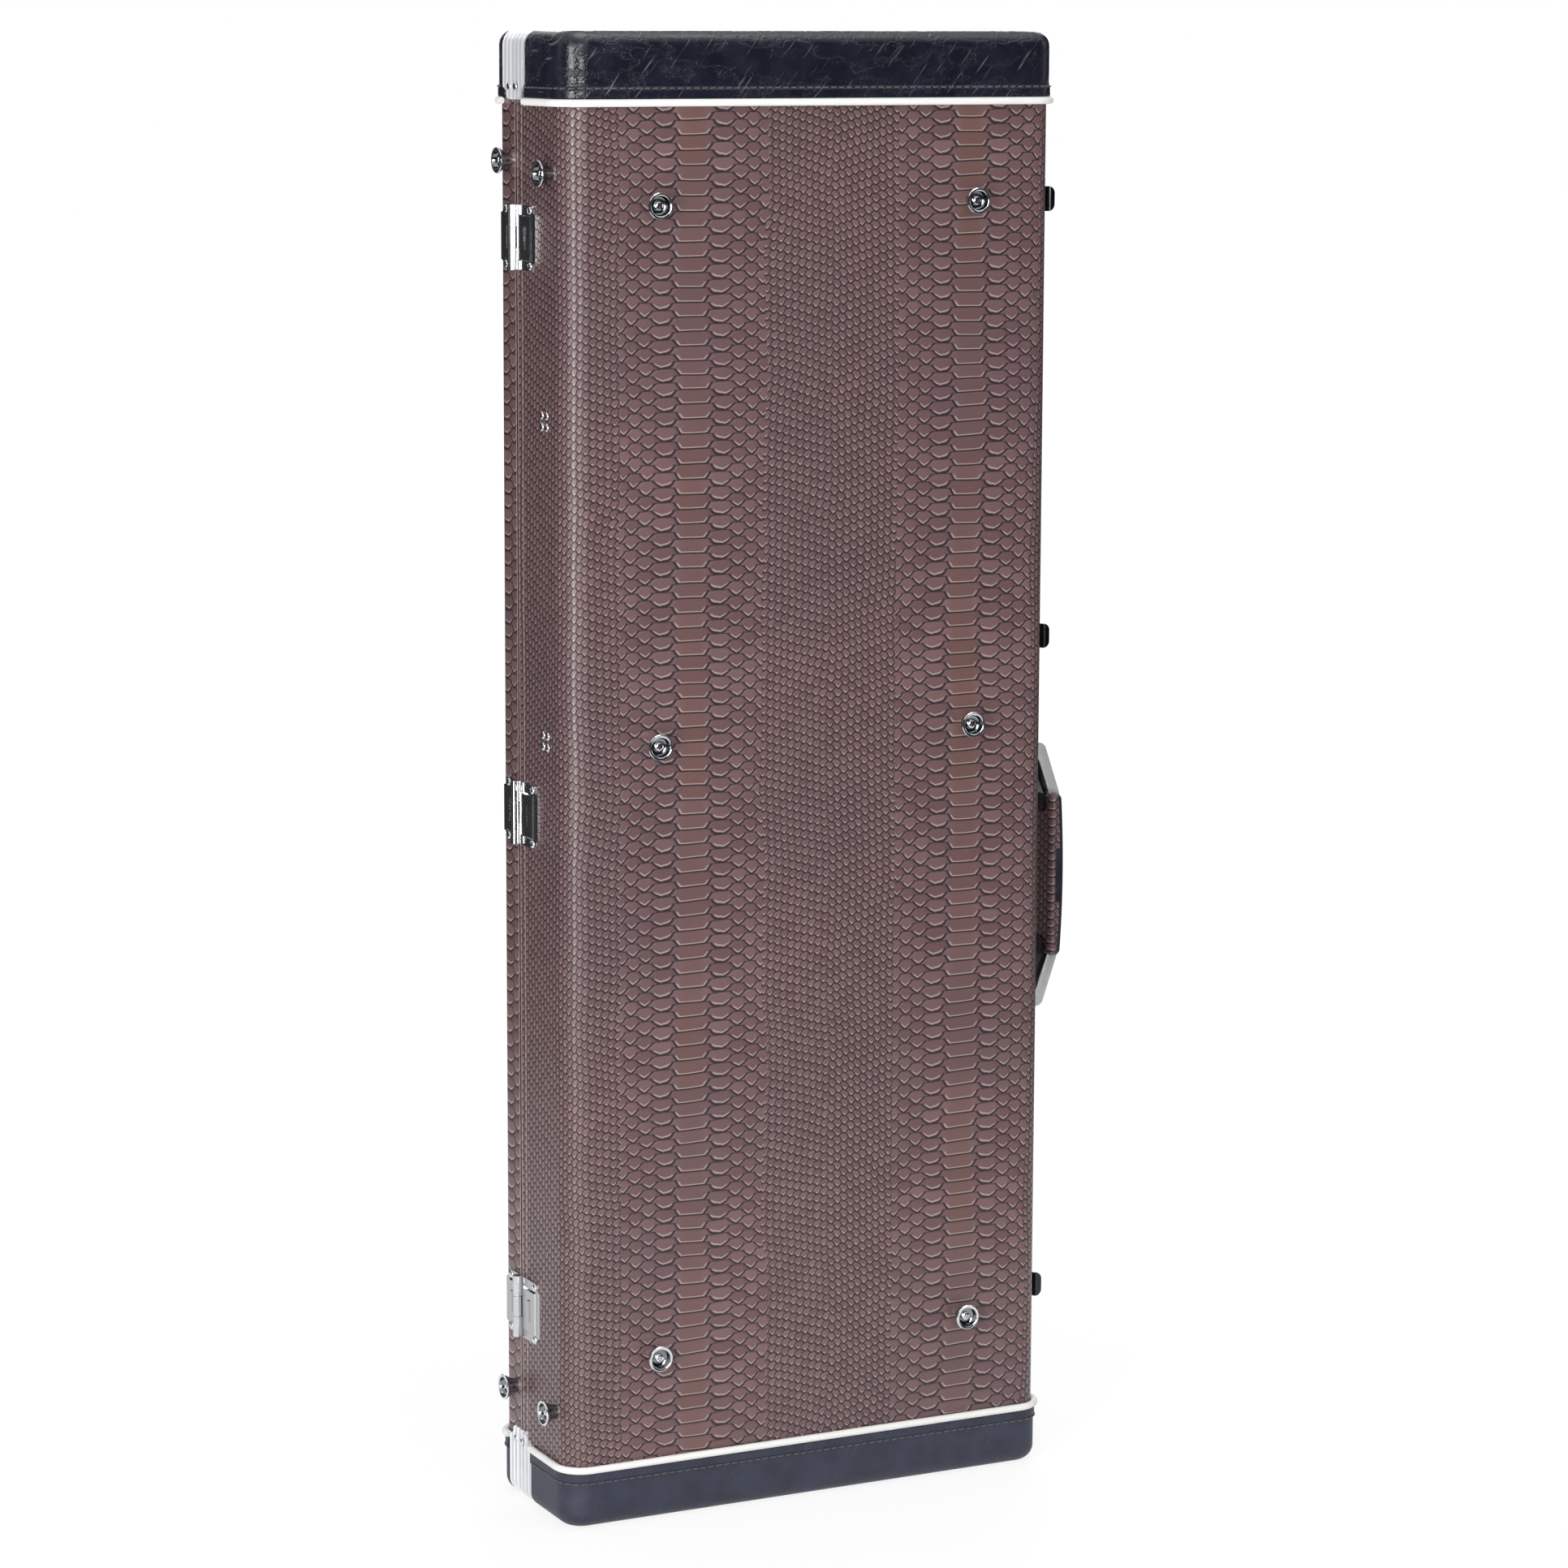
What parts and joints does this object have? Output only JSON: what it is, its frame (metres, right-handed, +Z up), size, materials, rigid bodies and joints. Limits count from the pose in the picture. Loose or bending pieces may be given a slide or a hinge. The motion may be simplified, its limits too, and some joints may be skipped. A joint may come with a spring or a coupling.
{
  "type": "electric guitar case",
  "caption": "Hard-shell rectangular electric guitar case with hinged lid, draw latches, carrying handle, flared feet and a plush-lined well.",
  "frame": {"origin": "middle of the case without its hardware in X and Y, on the face that the case stands on", "axes": "+Z up along the case from its body end to its headstock end, +X from the hinge wall to the latch wall, +Y from the base's big face to the lid"},
  "size_m": [0.4285, 0.1347, 1.0559],
  "materials": {
    "vinyl": "python-embossed brown vinyl, semi-matt",
    "plywood": "five-ply board",
    "plush": "black plush over foam",
    "leather": "black grained, stitched hem",
    "piping": "white welt",
    "seam_metal": "fluted and polished",
    "grip_vinyl": "embossed vinyl with black edges",
    "strap_metal": "satin",
    "chrome": "polished"
  },
  "bodies": {
    "base": {"base_board": "plywood", "base_covering": "vinyl", "base_lining": "plush", "base_cap_top": "leather", "base_piping_top": "piping", "base_strip_top": "seam_metal", "base_cap_bottom": "leather", "base_piping_bottom": "piping", "base_strip_bottom": "seam_metal", "base_feet": "chrome", "base_foot_screws": "chrome", "base_rivets": "chrome", "hinge_pins": "chrome", "latch_pivot_pins": "chrome", "hinge_bottom_base_leaf": "chrome", "hinge_middle_base_leaf": "chrome", "hinge_top_base_leaf": "chrome", "latch_bottom_plate": "chrome", "latch_middle_plate": "chrome", "latch_top_plate": "chrome", "handle_upper_bracket": "chrome", "handle_lower_bracket": "chrome", "handle_pins": "chrome", "floor_pad": "plush", "body_well_pad": "plush", "cross_wall_lower": "plush", "cross_wall_upper": "plush", "neck_cradle": "plush"},
    "lid": {"lid_board": "plywood", "lid_covering": "vinyl", "lid_lining": "plush", "lid_cap_top": "leather", "lid_piping_top": "piping", "lid_strip_top": "seam_metal", "lid_cap_bottom": "leather", "lid_piping_bottom": "piping", "lid_strip_bottom": "seam_metal", "lid_feet": "chrome", "lid_foot_screws": "chrome", "lid_rivets": "chrome", "lid_pad": "plush", "hinge_bottom_lid_leaf": "chrome", "hinge_middle_lid_leaf": "chrome", "hinge_top_lid_leaf": "chrome", "latch_bottom_strike": "chrome", "latch_middle_strike": "chrome", "latch_top_strike": "chrome"},
    "handle": {"handle_grip": "grip_vinyl", "handle_upper_strap": "strap_metal", "handle_lower_strap": "strap_metal"},
    "latch_bottom_lever_body": {"latch_bottom_lever": "chrome", "latch_bottom_claw_pin": "chrome"},
    "latch_bottom_claw_body": {"latch_bottom_claw": "chrome"},
    "latch_middle_lever_body": {"latch_middle_lever": "chrome", "latch_middle_claw_pin": "chrome"},
    "latch_middle_claw_body": {"latch_middle_claw": "chrome"},
    "latch_top_lever_body": {"latch_top_lever": "chrome", "latch_top_claw_pin": "chrome"},
    "latch_top_claw_body": {"latch_top_claw": "chrome"}
  },
  "joints": [
    {"name": "lid_hinge", "type": "hinge", "parent": "base", "child": "lid", "pos_m": [-0.1945, 0.024, 0.5275], "axis": [0, 0, 1], "range_deg": [0, 95]},
    {"name": "handle_swing", "type": "hinge", "parent": "base", "child": "handle", "pos_m": [0.197, -0.009, 0.435], "axis": [0, 0, 1], "range_deg": [-58, 58]},
    {"name": "latch_bottom_lever_turn", "type": "hinge", "parent": "base", "child": "latch_bottom_lever_body", "pos_m": [0.196, 0.012, 0.128], "axis": [0, 0, 1], "range_deg": [0, 100]},
    {"name": "latch_bottom_claw_turn", "type": "hinge", "parent": "latch_bottom_lever_body", "child": "latch_bottom_claw_body", "pos_m": [0.1982, 0.002, 0.128], "axis": [0, 0, -1], "range_deg": [0, 110]},
    {"name": "latch_middle_lever_turn", "type": "hinge", "parent": "base", "child": "latch_middle_lever_body", "pos_m": [0.196, 0.012, 0.617], "axis": [0, 0, 1], "range_deg": [0, 100]},
    {"name": "latch_middle_claw_turn", "type": "hinge", "parent": "latch_middle_lever_body", "child": "latch_middle_claw_body", "pos_m": [0.1982, 0.002, 0.617], "axis": [0, 0, -1], "range_deg": [0, 110]},
    {"name": "latch_top_lever_turn", "type": "hinge", "parent": "base", "child": "latch_top_lever_body", "pos_m": [0.196, 0.012, 0.935], "axis": [0, 0, 1], "range_deg": [0, 100]},
    {"name": "latch_top_claw_turn", "type": "hinge", "parent": "latch_top_lever_body", "child": "latch_top_claw_body", "pos_m": [0.1982, 0.002, 0.935], "axis": [0, 0, -1], "range_deg": [0, 110]}
  ],
  "couplings": [
    {"joint": "latch_bottom_claw_turn", "follows": "latch_bottom_lever_turn", "ratio": 1.1},
    {"joint": "latch_middle_claw_turn", "follows": "latch_middle_lever_turn", "ratio": 1.1},
    {"joint": "latch_top_claw_turn", "follows": "latch_top_lever_turn", "ratio": 1.1}
  ]
}
